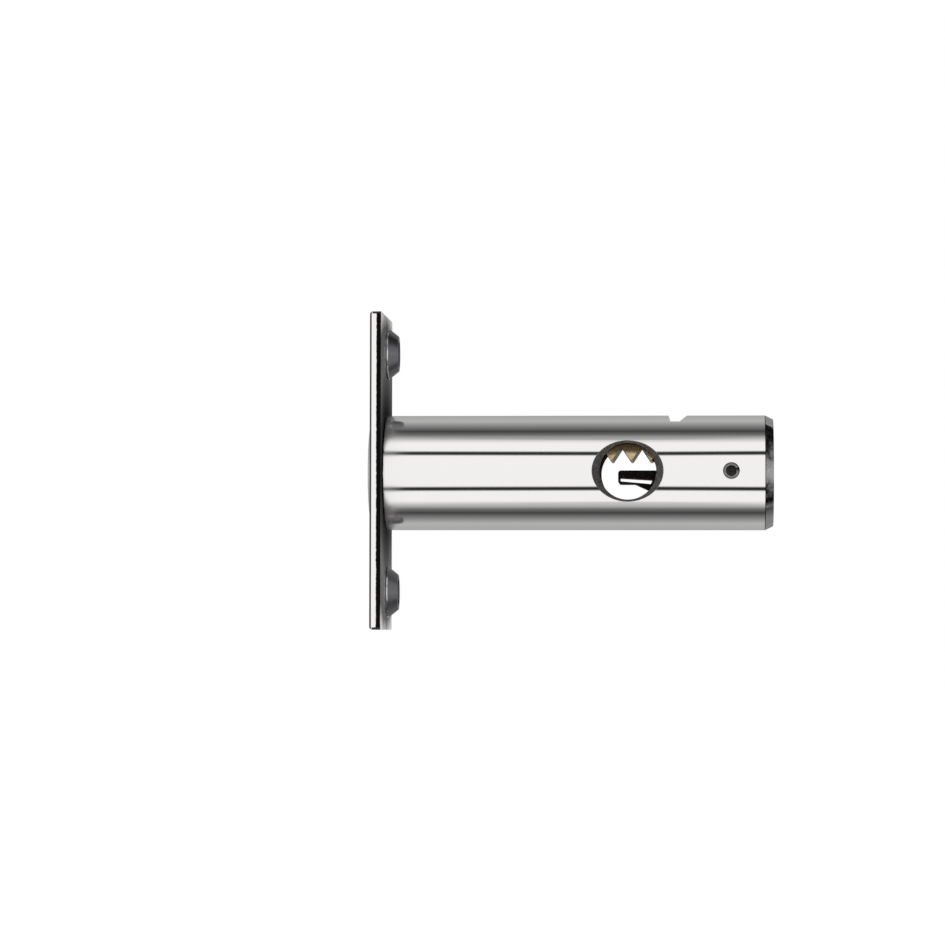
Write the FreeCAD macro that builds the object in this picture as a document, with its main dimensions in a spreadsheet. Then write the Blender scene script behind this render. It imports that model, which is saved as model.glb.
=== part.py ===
import FreeCAD, Part
import os
import Sketcher

# Mortice rack bolt: a tubular deadbolt for a door edge, thrown by a splined key.
#
# Frame: the origin is on the tube's axis, in the faceplate's back (seating) face.
# +X runs along the tube into the door, +Y along the key's axis, +Z up.
# The bolt is drawn back at rest and throws towards -X.

SIZES = [
    # name, millimetres (or degrees, or a count), what it is
    ("plate_width", 22.0, "faceplate across"),
    ("plate_height", 48.0, "faceplate top to bottom"),
    ("plate_thickness", 1.7, "faceplate sheet"),
    ("plate_corner", 0.5, "radius of the faceplate's four corners"),
    ("plate_edge", 0.45, "rounding of the front edge, left by the punch"),
    ("screw_spacing", 36.5, "between the two screw holes"),
    ("screw_hole", 4.0, "diameter of a screw hole"),
    ("screw_sink", 7.8, "diameter of the countersink at the front"),
    ("sink_depth", 2.6, "depth of the countersink's cone"),
    ("dimple_height", 1.9, "how far a pressed dimple stands off the back"),
    ("dimple_step", 0.4, "straight part at the foot of a dimple"),
    ("dimple_tip", 5.4, "outer diameter at the tip of a dimple"),
    ("tab_width", 2.6, "plate tab that locks into the tube's slot"),
    ("tab_bite", 0.4, "how far a tab enters the slot"),
    ("tab_round", 0.2, "rounding of a tab's inner corners"),
    ("tab_setback", 0.3, "tabs and their slots end this far ahead of the plate's back"),
    ("spigot_step", 0.2, "tube's shoulder behind the plate, on the radius"),
    ("tube_diameter", 17.5, "case tube outside"),
    ("tube_wall", 2.0, "case tube wall"),
    ("ring_proud", 0.5, "tube end standing proud of the faceplate"),
    ("ring_bevel", 0.8, "width of the rounded outer edge of that end"),
    ("ring_round", 0.25, "softening of that bevel's edges"),
    ("ring_land", 0.3, "flat of the ring's face, inside that bevel"),
    ("mouth_depth", 2.5, "length of the mouth's taper"),
    ("backset", 38.8, "faceplate front to the key's axis"),
    ("keyhole_diameter", 8.6, "key hole through both walls"),
    ("keyhole_sink", 10.85, "countersink of the key hole at the tube's surface"),
    ("keyhole_sink_depth", 1.9, "depth of that countersink"),
    ("notch_offset", 6.4, "key's axis to the front of the crown notch's floor"),
    ("notch_length", 1.4, "floor of the crown notch, and the guide lug below it"),
    ("notch_depth", 1.1, "depth of the crown notch"),
    ("notch_front", 0.3, "run of the notch's steep front wall"),
    ("notch_ramp", 1.2, "run of the notch's rear ramp"),
    ("lug_reach", 0.9, "how far the guide lug stands into the bore"),
    ("lug_width", 3.0, "guide lug across"),
    ("throw", 12.0, "travel of the bolt"),
    ("bolt_clearance", 0.1, "bolt to bore, on the radius"),
    ("bolt_recess", 0.3, "drawn-back bolt face behind the tube's front end"),
    ("bolt_chamfer", 0.15, "chamfer of the bolt's nose"),
    ("centre_mouth", 3.7, "lathe centre in the bolt's face, diameter"),
    ("centre_depth", 1.9, "depth of the lathe centre's cone"),
    ("groove_inner", 2.52, "radius of the inner turned ring"),
    ("groove_outer", 4.3, "radius of the outer turned ring"),
    ("groove_half", 0.13, "half width of a turned ring"),
    ("groove_depth", 0.1, "depth of a turned ring"),
    ("nose_gap", 5.8, "key's axis to the back of the bolt's solid nose"),
    ("rack_tip", 1.75, "height of the rack's tooth tips above the axis"),
    ("rack_depth", 2.0, "depth of the rack's teeth"),
    ("rack_pitch", 3.0, "pitch of the rack"),
    ("rack_half_gap", 1.35, "half width of a tooth gap at the tips"),
    ("rack_phase", 1.0, "nearest tooth root ahead of the key's axis"),
    ("keyway_side", 0.3, "keyway clearance on each side of the lug"),
    ("keyway_under", 0.5, "keyway clearance under the lug"),
    ("stop_gap", 0.1, "play at each end of the keyway"),
    ("rack_tail", 0.7, "wall behind the keyway"),
    ("tail_gap", 0.2, "drawn-back bolt to the end plug's flange"),
    ("flange_thickness", 1.2, "end plug's flange"),
    ("flange_chamfer", 0.6, "end plug's chamfer, on the radius"),
    ("plug_clearance", 0.05, "end plug to bore, on the radius"),
    ("plug_block", 12.5, "length of the end plug inside the tube"),
    ("plug_low", 1.2, "height of the plug's cheeks under the teeth"),
    ("plug_high", 3.2, "height of the plug's cheeks under the bolt's tail"),
    ("plug_step", 1.9, "pin's axis forward to the step between the two"),
    ("plug_floor", 0.8, "floor under the lever and the spring"),
    ("plug_back", 2.7, "pin's axis to the back of the lever slot"),
    ("teeth_gap", 0.7, "last tooth to the plug's step"),
    ("pin_from_end", 5.2, "pin's axis ahead of the tube's rear end"),
    ("pin_diameter", 2.5, "split pin outside"),
    ("pin_bore", 1.6, "drilled hole in each end of the pin"),
    ("pin_drill", 5.0, "depth of those holes; the pin is solid under the lever"),
    ("pin_slit", 0.5, "slit along each drilled end"),
    ("pin_turn", 12.0, "slit above straight back, degrees"),
    ("pin_sink", 0.15, "pin's ends below the tube's surface"),
    ("pin_fit", 0.01, "pin to its holes, on the radius"),
    ("lever_width", 5.0, "release lever across"),
    ("lever_side", 0.25, "lever to the plug's cheeks, each side"),
    ("lever_top", 0.28, "height of the lever's top above the axis"),
    ("lever_thickness", 2.05, "lever's finger, top to bottom"),
    ("lever_nose", 1.55, "lever's nose ahead of the key's axis"),
    ("lever_round", 0.45, "rounding of the lever's nose"),
    ("lever_knee", 1.0, "key's axis to where the underside turns down"),
    ("lever_deep", 5.1, "key's axis to the lever's deepest point"),
    ("lever_depth", 3.6, "lever's deepest point below the axis"),
    ("slit_start", 1.25, "lever's slit ahead of the key's axis"),
    ("slit_end", 3.7, "lever's slit behind the key's axis"),
    ("slit_top", 0.82, "top of the slit below the axis, at the front"),
    ("slit_height", 0.55, "height of the slit at the front"),
    ("slit_fall", 0.3, "how far the slit drops over its length"),
    ("eye_diameter", 4.4, "lever's eye outside"),
    ("eye_clearance", 0.05, "eye to pin, on the radius"),
    ("seat_near", 2.6, "spring seat under the lever, near edge from the pin"),
    ("seat_far", 6.2, "spring seat under the lever, far edge from the pin"),
    ("seat_depth", 3.2, "spring seat below the axis"),
    ("spring_from_pin", 4.4, "spring's axis ahead of the pin's"),
    ("spring_diameter", 2.6, "spring's mean diameter"),
    ("spring_wire", 0.35, "spring wire"),
    ("spring_pitch", 0.66, "spring's pitch"),
    ("spring_gap", 0.02, "spring's wire to its seats"),
]

doc = FreeCAD.newDocument("rack_bolt")
sheet = doc.addObject("Spreadsheet::Sheet", "Sizes")
for row, (alias, value, note) in enumerate(SIZES, start=1):
    sheet.set(f"A{row}", alias)
    sheet.set(f"B{row}", str(value))
    sheet.set(f"C{row}", note)
    sheet.setAlias(f"B{row}", alias)
doc.recompute()


def size(alias):
    """Expression text for one cell of the sheet."""
    return f"Sizes.{alias}"


# Places worked out from the driving sizes, as expression text.
TUBE_RADIUS = f"({size('tube_diameter')} / 2)"
BORE_RADIUS = f"({TUBE_RADIUS} - {size('tube_wall')})"
SPIGOT_RADIUS = f"({TUBE_RADIUS} - {size('spigot_step')})"
PLATE_FRONT = f"(0 - {size('plate_thickness')})"
TUBE_FRONT = f"({PLATE_FRONT} - {size('ring_proud')})"
TAB_BACK = f"(0 - {size('tab_setback')})"
KEY_X = f"({size('backset')} - {size('plate_thickness')})"
LUG_FRONT = f"({KEY_X} + {size('notch_offset')})"
LUG_BACK = f"({LUG_FRONT} + {size('notch_length')})"
KEYWAY_FRONT = f"({LUG_FRONT} - {size('stop_gap')})"
KEYWAY_BACK = f"({LUG_BACK} + {size('throw')} + {size('stop_gap')})"
BOLT_FRONT = f"({TUBE_FRONT} + {size('bolt_recess')})"
BOLT_BACK = f"({KEYWAY_BACK} + {size('rack_tail')})"
BOLT_RADIUS = f"({BORE_RADIUS} - {size('bolt_clearance')})"
TUBE_BACK = f"({BOLT_BACK} + {size('tail_gap')})"
PIN_X = f"({TUBE_BACK} - {size('pin_from_end')})"
PLUG_STEP_X = f"({PIN_X} - {size('plug_step')})"
TEETH_END = f"({PLUG_STEP_X} - {size('teeth_gap')})"
RACK_ROOT = f"({size('rack_tip')} + {size('rack_depth')})"
PLUG_RADIUS = f"({BORE_RADIUS} - {size('plug_clearance')})"
PLUG_FRONT = f"({TUBE_BACK} - {size('plug_block')})"
PLUG_FLOOR = f"(0 - {PLUG_RADIUS} + {size('plug_floor')})"
SCREW_Z = f"({size('screw_spacing')} / 2)"
BEYOND = "60"  # past every outside face, for cuts that run right through


def number(text):
    """Value of an expression, in millimetres."""
    value = sheet.evalExpression(text)
    return getattr(value, "Value", value)


def new_body(name):
    body = doc.addObject("PartDesign::Body", name)
    body.Label = name
    return body


def new_sketch(body, name, plane):
    """Sketch on one of the body's own origin planes: XY_Plane, XZ_Plane or YZ_Plane."""
    sketch = body.newObject("Sketcher::SketchObject", name)
    origin_plane = [item for item in body.Origin.OriginFeatures if item.Role == plane][0]
    sketch.AttachmentSupport = (origin_plane, "")
    sketch.MapMode = "FlatFace"
    return sketch


def bind(sketch, constraint, text):
    """Adds a dimension to a sketch and drives it by an expression."""
    index = sketch.addConstraint(constraint)
    sketch.setExpression(f"Constraints[{index}]", text)


def pin_point(sketch, geometry, point, across, up):
    """Holds one point of a sketch at two expressions, measured from its origin."""
    ends = (-1, 1, geometry, point)
    bind(sketch, Sketcher.Constraint("DistanceX", *ends, number(across)), across)
    bind(sketch, Sketcher.Constraint("DistanceY", *ends, number(up)), up)


def add_outline(sketch, corners):
    """Closed straight-sided outline through corners, each a pair of expressions."""
    places = [FreeCAD.Vector(number(across), number(up), 0) for across, up in corners]
    first = sketch.GeometryCount
    for here, there in zip(places, places[1:] + places[:1]):
        sketch.addGeometry(Part.LineSegment(here, there), False)
    for index in range(len(places)):
        following = (index + 1) % len(places)
        sketch.addConstraint(
            Sketcher.Constraint("Coincident", first + index, 2, first + following, 1))
        pin_point(sketch, first + index, 1, *corners[index])


def add_circle(sketch, across, up, diameter):
    centre = FreeCAD.Vector(number(across), number(up), 0)
    circle = Part.Circle(centre, FreeCAD.Vector(0, 0, 1), number(diameter) / 2)
    index = sketch.addGeometry(circle, False)
    pin_point(sketch, index, 3, across, up)
    bind(sketch, Sketcher.Constraint("Diameter", index, number(diameter)), diameter)


def add_axis(sketch, start, end):
    """Construction line that a revolution or a helix turns about."""
    places = [FreeCAD.Vector(number(across), number(up), 0) for across, up in (start, end)]
    index = sketch.addGeometry(Part.LineSegment(*places), True)
    pin_point(sketch, index, 1, *start)
    pin_point(sketch, index, 2, *end)


def rectangle(low_across, high_across, low_up, high_up):
    return [(low_across, low_up), (high_across, low_up),
            (high_across, high_up), (low_across, high_up)]


def settle(body, feature, grows):
    """Recomputes and makes sure that the feature really added or removed material."""
    previous = feature.BaseFeature.Shape.Volume if feature.BaseFeature else 0.0
    doc.recompute()
    change = feature.Shape.Volume - previous
    if change <= 0 if grows else change >= 0:
        raise RuntimeError(f"{body.Label}.{feature.Name} changed nothing: {change:.4f} mm3")
    return feature


def pad(body, name, sketch, length, midplane=False, backwards=False):
    feature = body.newObject("PartDesign::Pad", name)
    feature.Profile = sketch
    feature.setExpression("Length", length)
    feature.Midplane = midplane
    feature.Reversed = backwards
    return settle(body, feature, grows=True)


def pocket(body, name, sketch, length, midplane=True):
    feature = body.newObject("PartDesign::Pocket", name)
    feature.Profile = sketch
    feature.setExpression("Length", length)
    feature.Midplane = midplane
    return settle(body, feature, grows=False)


def revolve(body, name, sketch, axis="H_Axis", cut=False):
    kind = "PartDesign::Groove" if cut else "PartDesign::Revolution"
    feature = body.newObject(kind, name)
    feature.Profile = sketch
    feature.ReferenceAxis = (sketch, [axis])
    feature.Angle = 360.0
    return settle(body, feature, grows=not cut)


def repeat(body, kind, name, originals, direction, **settings):
    """Mirror or linear pattern of features, which counts only once it is the body's tip."""
    feature = body.newObject(kind, name)
    feature.Originals = originals
    reference = [item for item in body.Origin.OriginFeatures if item.Role == direction][0]
    if kind == "PartDesign::Mirrored":
        feature.MirrorPlane = (reference, [""])
    else:
        feature.Direction = (reference, [""])
    for key, text in settings.items():
        feature.setExpression(key, text)
    body.Tip = feature
    doc.recompute()
    return feature


def smooth(body, kind, name, size_text, chosen):
    """Fillet or chamfer of the tip's edges that chosen(edge) picks."""
    base = body.Tip
    names = [f"Edge{index}" for index, edge in enumerate(base.Shape.Edges, start=1)
             if chosen(edge)]
    if not names:
        raise RuntimeError(f"{body.Label}.{name} found no edge")
    feature = body.newObject(kind, name)
    feature.Base = (base, names)
    feature.setExpression("Radius" if kind.endswith("Fillet") else "Size", size_text)
    doc.recompute()
    return feature


def runs_along(edge, axis):
    """True for a straight edge parallel to a unit axis."""
    if not isinstance(edge.Curve, Part.Line):
        return False
    return abs(abs(edge.Curve.Direction.dot(axis)) - 1.0) < 1e-6


def all_at_x(edge, place):
    return all(abs(vertex.Point.x - place) < 1e-4 for vertex in edge.Vertexes)


def is_circle(edge, radius):
    return isinstance(edge.Curve, Part.Circle) and abs(edge.Curve.Radius - radius) < 1e-4


X_AXIS = FreeCAD.Vector(1, 0, 0)
Y_AXIS = FreeCAD.Vector(0, 1, 0)


def make_faceplate():
    body = new_body("faceplate")
    blank = new_sketch(body, "plate_blank", "YZ_Plane")
    half_width = f"{size('plate_width')} / 2"
    half_height = f"{size('plate_height')} / 2"
    add_outline(blank, rectangle(f"0 - {half_width}", half_width,
                                 f"0 - {half_height}", half_height))
    pad(body, "plate_sheet", blank, size("plate_thickness"), backwards=True)
    smooth(body, "PartDesign::Fillet", "plate_corners", size("plate_corner"),
           lambda edge: runs_along(edge, X_AXIS))
    front = number(PLATE_FRONT)
    smooth(body, "PartDesign::Fillet", "plate_front_edge", size("plate_edge"),
           lambda edge: all_at_x(edge, front))

    # A screw hole is pressed through, so its countersink shows as a dimple behind.
    foot_radius = f"{SCREW_Z} + {size('screw_sink')} / 2"
    tip_radius = f"{SCREW_Z} + {size('dimple_tip')} / 2"
    inside = f"0 - {size('plate_thickness')} / 2"
    dimple = new_sketch(body, "dimple_profile", "XZ_Plane")
    add_outline(dimple, [
        (inside, SCREW_Z), (inside, foot_radius), (size("dimple_step"), foot_radius),
        (size("dimple_height"), tip_radius), (size("dimple_height"), SCREW_Z)])
    add_axis(dimple, (inside, SCREW_Z), (size("dimple_height"), SCREW_Z))
    dimple_boss = revolve(body, "dimple", dimple, axis="Axis0")
    hole = new_sketch(body, "screw_hole_profile", "XZ_Plane")
    hole_radius = f"{SCREW_Z} + {size('screw_hole')} / 2"
    cone_end = f"{PLATE_FRONT} + {size('sink_depth')}"
    add_outline(hole, [
        (PLATE_FRONT, SCREW_Z), (PLATE_FRONT, foot_radius), (cone_end, hole_radius),
        (size("dimple_height"), hole_radius), (size("dimple_height"), SCREW_Z)])
    add_axis(hole, (PLATE_FRONT, SCREW_Z), (size("dimple_height"), SCREW_Z))
    screw_hole = revolve(body, "screw_hole", hole, axis="Axis0", cut=True)
    repeat(body, "PartDesign::Mirrored", "second_screw", [dimple_boss, screw_hole], "XY_Plane")

    # The tube's hole takes its spigot, and the chamfer behind takes the spigot's cone.
    # A tab above and below locks into the tube's slots.
    bore = new_sketch(body, "tube_hole_outline", "YZ_Plane")
    add_circle(bore, "0", "0", f"2 * {SPIGOT_RADIUS}")
    pocket(body, "tube_hole", bore, BEYOND)
    smooth(body, "PartDesign::Chamfer", "tube_hole_lead", size("spigot_step"),
           lambda edge: all_at_x(edge, 0.0) and is_circle(edge, number(SPIGOT_RADIUS)))
    tab = new_sketch(body, "tab_outline", "XZ_Plane")
    add_outline(tab, rectangle(PLATE_FRONT, TAB_BACK,
                               f"{SPIGOT_RADIUS} - {size('tab_bite')}",
                               f"{SPIGOT_RADIUS} + {size('tab_bite')}"))
    upper_tab = pad(body, "upper_tab", tab, size("tab_width"), midplane=True)
    repeat(body, "PartDesign::Mirrored", "lower_tab", [upper_tab], "XY_Plane")
    inner_edge = number(SPIGOT_RADIUS) - number(size("tab_bite"))
    smooth(body, "PartDesign::Fillet", "tab_corners", size("tab_round"),
           lambda edge: runs_along(edge, X_AXIS)
           and abs(abs(edge.Vertexes[0].Point.z) - inner_edge) < 1e-4)
    return body


def make_case_tube():
    body = new_body("case_tube")
    wall = new_sketch(body, "tube_wall_profile", "XZ_Plane")
    mouth = f"{TUBE_RADIUS} - {size('ring_bevel')} - {size('ring_land')}"
    add_outline(wall, [
        (TUBE_FRONT, mouth),
        (TUBE_FRONT, f"{TUBE_RADIUS} - {size('ring_bevel')}"),
        (PLATE_FRONT, TUBE_RADIUS),
        (PLATE_FRONT, SPIGOT_RADIUS),
        (f"0 - {size('spigot_step')}", SPIGOT_RADIUS),
        ("0", TUBE_RADIUS),
        (TUBE_BACK, TUBE_RADIUS),
        (TUBE_BACK, BORE_RADIUS),
        (f"{TUBE_FRONT} + {size('mouth_depth')}", BORE_RADIUS)])
    revolve(body, "tube_turning", wall)
    front = number(TUBE_FRONT)
    bevel_radius = number(f"{TUBE_RADIUS} - {size('ring_bevel')}")
    smooth(body, "PartDesign::Fillet", "ring_rounding", size("ring_round"),
           lambda edge: all_at_x(edge, front) and is_circle(edge, bevel_radius))

    slot = new_sketch(body, "tab_slot_outline", "XZ_Plane")
    past_wall = f"({TUBE_RADIUS} + 1)"
    add_outline(slot, rectangle(f"{TUBE_FRONT} - 1", TAB_BACK,
                                f"0 - {past_wall}", past_wall))
    pocket(body, "tab_slots", slot, size("tab_width"))

    keyhole = new_sketch(body, "keyhole_outline", "XZ_Plane")
    add_circle(keyhole, KEY_X, "0", size("keyhole_diameter"))
    pocket(body, "keyhole", keyhole, BEYOND)
    sink = new_sketch(body, "keyhole_sink_profile", "XY_Plane")
    sink_floor = f"{TUBE_RADIUS} - {size('keyhole_sink_depth')}"
    slope = (f"({size('keyhole_sink')} - {size('keyhole_diameter')}) / 2"
             f" / {size('keyhole_sink_depth')}")
    beyond = "1"
    add_outline(sink, [
        (KEY_X, sink_floor),
        (f"{KEY_X} + {size('keyhole_diameter')} / 2", sink_floor),
        (f"{KEY_X} + {size('keyhole_sink')} / 2 + {slope} * {beyond}",
         f"{TUBE_RADIUS} + {beyond}"),
        (KEY_X, f"{TUBE_RADIUS} + {beyond}")])
    add_axis(sink, (KEY_X, sink_floor), (KEY_X, TUBE_RADIUS))
    near_sink = revolve(body, "keyhole_sink", sink, axis="Axis0", cut=True)
    repeat(body, "PartDesign::Mirrored", "far_keyhole_sink", [near_sink], "XZ_Plane")

    # The crown is struck in from outside: a notch above, and a guide lug in the bore below.
    notch = new_sketch(body, "crown_notch_outline", "XZ_Plane")
    notch_floor = f"{TUBE_RADIUS} - {size('notch_depth')}"
    over = f"{size('notch_depth')}"
    add_outline(notch, [
        (LUG_FRONT, notch_floor), (LUG_BACK, notch_floor),
        (f"{LUG_BACK} + 2 * {size('notch_ramp')}", f"{TUBE_RADIUS} + {over}"),
        (f"{LUG_FRONT} - 2 * {size('notch_front')}", f"{TUBE_RADIUS} + {over}")])
    pocket(body, "crown_notch", notch, BEYOND)
    lug = new_sketch(body, "guide_lug_outline", "XZ_Plane")
    add_outline(lug, rectangle(LUG_FRONT, LUG_BACK, f"{BORE_RADIUS} - {size('lug_reach')}",
                               f"{BORE_RADIUS} + {size('tube_wall')} / 4"))
    pad(body, "guide_lug", lug, size("lug_width"), midplane=True)

    pin_hole = new_sketch(body, "pin_hole_outline", "XZ_Plane")
    add_circle(pin_hole, PIN_X, "0", f"{size('pin_diameter')} + 2 * {size('pin_fit')}")
    pocket(body, "pin_hole", pin_hole, BEYOND)
    return body


def turned_ring(radius):
    """Three corners of a shallow V turned in the bolt's face at a radius."""
    return [(BOLT_FRONT, f"{radius} - {size('groove_half')}"),
            (f"{BOLT_FRONT} + {size('groove_depth')}", radius),
            (BOLT_FRONT, f"{radius} + {size('groove_half')}")]


def make_bolt():
    body = new_body("bolt")
    bar = new_sketch(body, "bar_profile", "XZ_Plane")
    corners = [(f"{BOLT_FRONT} + {size('centre_depth')}", "0"),
               (BOLT_FRONT, f"{size('centre_mouth')} / 2")]
    corners += turned_ring(size("groove_inner"))
    corners += turned_ring(size("groove_outer"))
    corners += [(BOLT_FRONT, f"{BOLT_RADIUS} - {size('bolt_chamfer')}"),
                (f"{BOLT_FRONT} + {size('bolt_chamfer')}", BOLT_RADIUS),
                (BOLT_BACK, BOLT_RADIUS), (BOLT_BACK, "0")]
    add_outline(bar, corners)
    revolve(body, "turned_bar", bar)

    # Behind the solid nose only an upper segment is left, which carries the rack.
    window = new_sketch(body, "window_outline", "XZ_Plane")
    nose_back = f"{KEY_X} - {size('nose_gap')}"
    below = f"0 - {TUBE_RADIUS}"
    behind = f"{BOLT_BACK} + 1"
    add_outline(window, [
        (nose_back, below), (nose_back, size("rack_tip")), (TEETH_END, size("rack_tip")),
        (TEETH_END, RACK_ROOT), (behind, RACK_ROOT), (behind, below)])
    pocket(body, "window", window, BEYOND)
    gap = new_sketch(body, "tooth_gap_outline", "XZ_Plane")
    first_gap = f"({KEY_X} - {size('rack_phase')} - {size('rack_pitch')})"
    add_outline(gap, [
        (f"{first_gap} - {size('rack_half_gap')}", size("rack_tip")),
        (first_gap, RACK_ROOT),
        (f"{first_gap} + {size('rack_half_gap')}", size("rack_tip"))])
    tooth_gap = pocket(body, "tooth_gap", gap, BEYOND)
    rack_run = f"({TEETH_END} - {size('rack_half_gap')} - {first_gap})"
    gaps = f"floor({rack_run} / {size('rack_pitch')}) + 1"
    repeat(body, "PartDesign::LinearPattern", "rack", [tooth_gap], "X_Axis",
           Occurrences=gaps, Length=f"(({gaps}) - 1) * {size('rack_pitch')}")

    # Closed keyway on top: the tube's lug keeps the bolt upright and stops it at both ends.
    keyway = new_sketch(body, "keyway_outline", "XZ_Plane")
    floor = f"{BORE_RADIUS} - {size('lug_reach')} - {size('keyway_under')}"
    add_outline(keyway, rectangle(KEYWAY_FRONT, KEYWAY_BACK, floor, TUBE_RADIUS))
    pocket(body, "keyway", keyway, f"{size('lug_width')} + 2 * {size('keyway_side')}")
    return body


def make_end_plug():
    body = new_body("end_plug")
    block = new_sketch(body, "plug_profile", "XZ_Plane")
    flange_back = f"{TUBE_BACK} + {size('flange_thickness')}"
    add_outline(block, [
        (PLUG_FRONT, "0"), (PLUG_FRONT, PLUG_RADIUS), (TUBE_BACK, PLUG_RADIUS),
        (TUBE_BACK, TUBE_RADIUS), (flange_back, f"{TUBE_RADIUS} - {size('flange_chamfer')}"),
        (flange_back, "0")])
    revolve(body, "plug_turning", block)
    upper = new_sketch(body, "rack_clearance_outline", "XZ_Plane")
    ahead = f"{PLUG_FRONT} - 1"
    add_outline(upper, [
        (ahead, size("plug_low")), (PLUG_STEP_X, size("plug_low")),
        (PLUG_STEP_X, size("plug_high")), (TUBE_BACK, size("plug_high")),
        (TUBE_BACK, TUBE_RADIUS), (ahead, TUBE_RADIUS)])
    pocket(body, "rack_clearance", upper, BEYOND)
    slot = new_sketch(body, "lever_slot_outline", "XZ_Plane")
    add_outline(slot, rectangle(ahead, f"{PIN_X} + {size('plug_back')}", PLUG_FLOOR,
                                TUBE_RADIUS))
    pocket(body, "lever_slot", slot, f"{size('lever_width')} + 2 * {size('lever_side')}")
    pin_hole = new_sketch(body, "pin_hole_outline", "XZ_Plane")
    add_circle(pin_hole, PIN_X, "0", f"{size('pin_diameter')} + 2 * {size('pin_fit')}")
    pocket(body, "pin_hole", pin_hole, BEYOND)
    return body


def make_roll_pin():
    """Split pin across the case, which holds the plug and carries the lever."""
    half_length = f"(sqrt({TUBE_RADIUS}^2 - ({size('pin_diameter')} / 2)^2) - {size('pin_sink')})"

    def across(name, diameter, length, start):
        """Cylinder on the pin's axis, running towards -Y from its start."""
        solid = doc.addObject("Part::Cylinder", name)
        solid.Placement = FreeCAD.Placement(
            FreeCAD.Vector(0, 0, 0), FreeCAD.Rotation(X_AXIS, 90))
        solid.setExpression("Radius", f"{diameter} / 2")
        solid.setExpression("Height", length)
        solid.setExpression("Placement.Base.x", PIN_X)
        solid.setExpression("Placement.Base.y", start)
        return solid

    def slit_to(name, start):
        """Slit from the pin's axis back through its wall, running towards +Y."""
        slit = doc.addObject("Part::Box", name)
        slit.setExpression("Length", size("pin_diameter"))
        slit.setExpression("Width", f"{size('pin_drill')} + 1")
        slit.setExpression("Height", size("pin_slit"))
        slit.Placement.Rotation = FreeCAD.Rotation(Y_AXIS, -number(size("pin_turn")))
        slit.setExpression("Placement.Base.x", PIN_X)
        slit.setExpression("Placement.Base.y", start)
        slit.setExpression("Placement.Base.z", f"0 - {size('pin_slit')} / 2")
        return slit

    outside = across("pin_outside", size("pin_diameter"), f"2 * {half_length}", half_length)
    drill_length = f"{size('pin_drill')} + 1"
    cuts = doc.addObject("Part::MultiFuse", "pin_cuts")
    cuts.Shapes = [
        across("far_drill", size("pin_bore"), drill_length, f"{half_length} + 1"),
        across("near_drill", size("pin_bore"), drill_length,
               f"{size('pin_drill')} - {half_length}"),
        slit_to("far_slit", f"{half_length} - {size('pin_drill')}"),
        slit_to("near_slit", f"0 - {half_length} - 1"),
    ]
    pin = doc.addObject("Part::Cut", "roll_pin")
    pin.Label = "roll_pin"
    pin.Base = outside
    pin.Tool = cuts
    return pin


def make_release_lever():
    """Sprung finger under the key: it swings down on the pin as the key goes in."""
    body = new_body("release_lever")
    arm = new_sketch(body, "arm_outline", "XZ_Plane")
    nose = f"{KEY_X} - {size('lever_nose')}"
    underside = f"{size('lever_top')} - {size('lever_thickness')}"
    add_outline(arm, [
        (nose, size("lever_top")), (PIN_X, size("lever_top")),
        (PIN_X, f"0 - {size('eye_diameter')} / 2"),
        (f"{PIN_X} - {size('seat_near')}", f"0 - {size('seat_depth')}"),
        (f"{PIN_X} - {size('seat_far')}", f"0 - {size('seat_depth')}"),
        (f"{KEY_X} + {size('lever_deep')}", f"0 - {size('lever_depth')}"),
        (f"{KEY_X} + {size('lever_knee')}", underside),
        (nose, underside)])
    pad(body, "arm", arm, size("lever_width"), midplane=True)
    nose_x = number(nose)
    smooth(body, "PartDesign::Fillet", "nose_rounding", size("lever_round"),
           lambda edge: runs_along(edge, Y_AXIS) and all_at_x(edge, nose_x))
    eye = new_sketch(body, "eye_outline", "XZ_Plane")
    add_circle(eye, PIN_X, "0", size("eye_diameter"))
    pad(body, "eye", eye, size("lever_width"), midplane=True)
    hole = new_sketch(body, "eye_hole_outline", "XZ_Plane")
    add_circle(hole, PIN_X, "0", f"{size('pin_diameter')} + 2 * {size('eye_clearance')}")
    pocket(body, "eye_hole", hole, BEYOND)
    slit = new_sketch(body, "slit_outline", "XZ_Plane")
    slit_front = f"{KEY_X} - {size('slit_start')}"
    slit_back = f"{KEY_X} + {size('slit_end')}"
    fall = size("slit_fall")
    top = f"0 - {size('slit_top')}"
    bottom = f"0 - {size('slit_top')} - {size('slit_height')}"
    add_outline(slit, [
        (slit_front, top), (slit_back, f"{top} - {fall}"),
        (f"{slit_back} - {size('slit_height')} / 2", f"{bottom} - {fall} * 1.4"),
        (slit_front, bottom)])
    pocket(body, "slit", slit, BEYOND)
    return body


def make_lever_spring():
    """Small compression spring between the plug's floor and the lever's seat."""
    body = new_body("lever_spring")
    wire = new_sketch(body, "wire_section", "XZ_Plane")
    spring_x = f"({PIN_X} - {size('spring_from_pin')})"
    lowest = f"({PLUG_FLOOR} + {size('spring_wire')} / 2 + {size('spring_gap')})"
    highest = f"(0 - {size('seat_depth')} - {size('spring_wire')} / 2 - {size('spring_gap')})"
    add_circle(wire, f"{spring_x} + {size('spring_diameter')} / 2", lowest,
               size("spring_wire"))
    add_axis(wire, (spring_x, lowest), (spring_x, highest))
    coil = body.newObject("PartDesign::AdditiveHelix", "coil")
    coil.Profile = wire
    coil.ReferenceAxis = (wire, ["Axis0"])
    coil.Mode = 0
    coil.setExpression("Pitch", size("spring_pitch"))
    coil.setExpression("Height", f"{highest} - {lowest}")
    doc.recompute()
    return body


def check(pieces):
    """Stops before anything is written if an object failed or a solid is unsound."""
    for item in doc.Objects:
        if any(state in ("Invalid", "Error") for state in item.State):
            raise RuntimeError(f"{item.Name} did not compute: {item.State}")
    for piece in pieces:
        shape = piece.Shape
        if shape.isNull() or not shape.isValid() or len(shape.Solids) != 1:
            raise RuntimeError(f"{piece.Label} is not one valid solid")


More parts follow.
